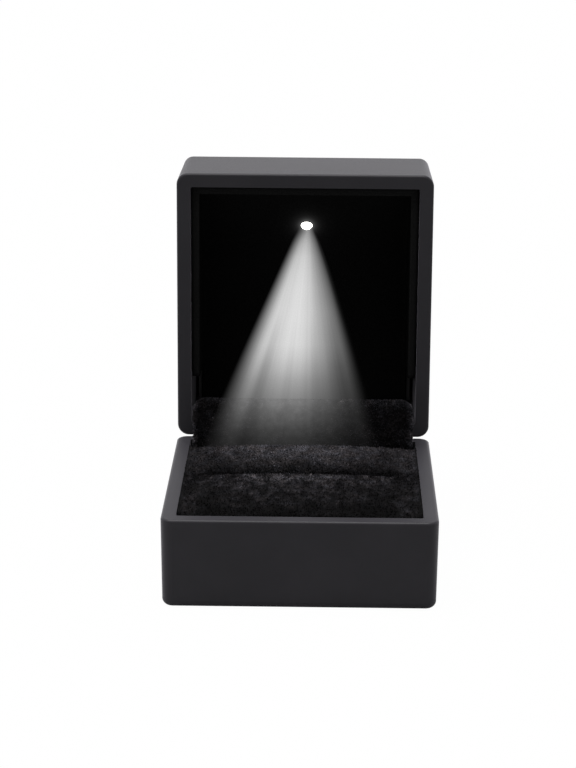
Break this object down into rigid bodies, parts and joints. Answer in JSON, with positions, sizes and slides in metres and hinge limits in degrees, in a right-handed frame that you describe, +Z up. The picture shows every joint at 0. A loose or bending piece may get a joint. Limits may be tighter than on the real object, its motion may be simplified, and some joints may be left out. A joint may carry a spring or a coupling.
{
  "type": "ring display box",
  "caption": "Small square jewellery box for a ring, standing open, with a velvet cushion and slot in the base and a lamp in the lid.",
  "frame": {"origin": "centre of the base's footprint on the surface it stands on, halfway between the base's front and rear faces", "axes": "+Z up, the front faces -Y, +X to the right as seen from the front; the lid stands open behind the base"},
  "size_m": [0.06, 0.0895, 0.0835],
  "materials": {
    "shell_plastic": "satin",
    "velvet": "matte",
    "foam": "matte",
    "card": "matte",
    "tray_plastic": "matte",
    "nickel_sheet": "satin",
    "spring_steel": "satin",
    "pin_steel": "polished",
    "white_nylon": "satin",
    "black_plastic": "satin",
    "lamp_resin": "gloss",
    "circuit_laminate": "satin",
    "resistor_coat": "satin",
    "cell_steel": "satin",
    "wire_insulation": "satin"
  },
  "bodies": {
    "base": {"base_shell": "shell_plastic", "cushion_board": "card", "foam_front": "foam", "foam_rear": "foam", "cushion_velvet": "velvet", "upstand_core": "card", "upstand_velvet": "velvet", "base_leaf": "nickel_sheet", "base_leaf_screws": "pin_steel", "snap_springs": "spring_steel", "hinge_pin": "pin_steel", "switch_cam": "white_nylon"},
    "lid": {"lid_shell": "shell_plastic", "lid_leaf": "nickel_sheet", "lid_leaf_screws": "pin_steel", "lining_tray": "tray_plastic", "lining_velvet": "velvet", "lamp": "lamp_resin", "lamp_leads": "pin_steel", "lamp_holder": "white_nylon", "circuit_board": "circuit_laminate", "resistor": "resistor_coat", "battery_holder": "black_plastic", "cell_left": "cell_steel", "cell_right": "cell_steel", "cell_bridge": "nickel_sheet", "cell_clips": "nickel_sheet", "switch_body": "black_plastic", "switch_screws": "pin_steel", "wires": "wire_insulation"},
    "plunger": {"switch_plunger": "white_nylon"}
  },
  "joints": [
    {"name": "lid_hinge", "type": "hinge", "parent": "base", "child": "lid", "pos_m": [0, 0.03165, 0.02015], "axis": [1, 0, 0], "range_deg": [0, 90], "deforming": ["snap_springs"]},
    {"name": "switch_press", "type": "slide", "parent": "lid", "child": "plunger", "axis": [0, 0.9272, 0.3746], "range_m": [0, 0.0012]}
  ],
  "couplings": [
    {"joint": "switch_press", "follows": "lid_hinge", "m_per_rad": 0.00076394}
  ]
}
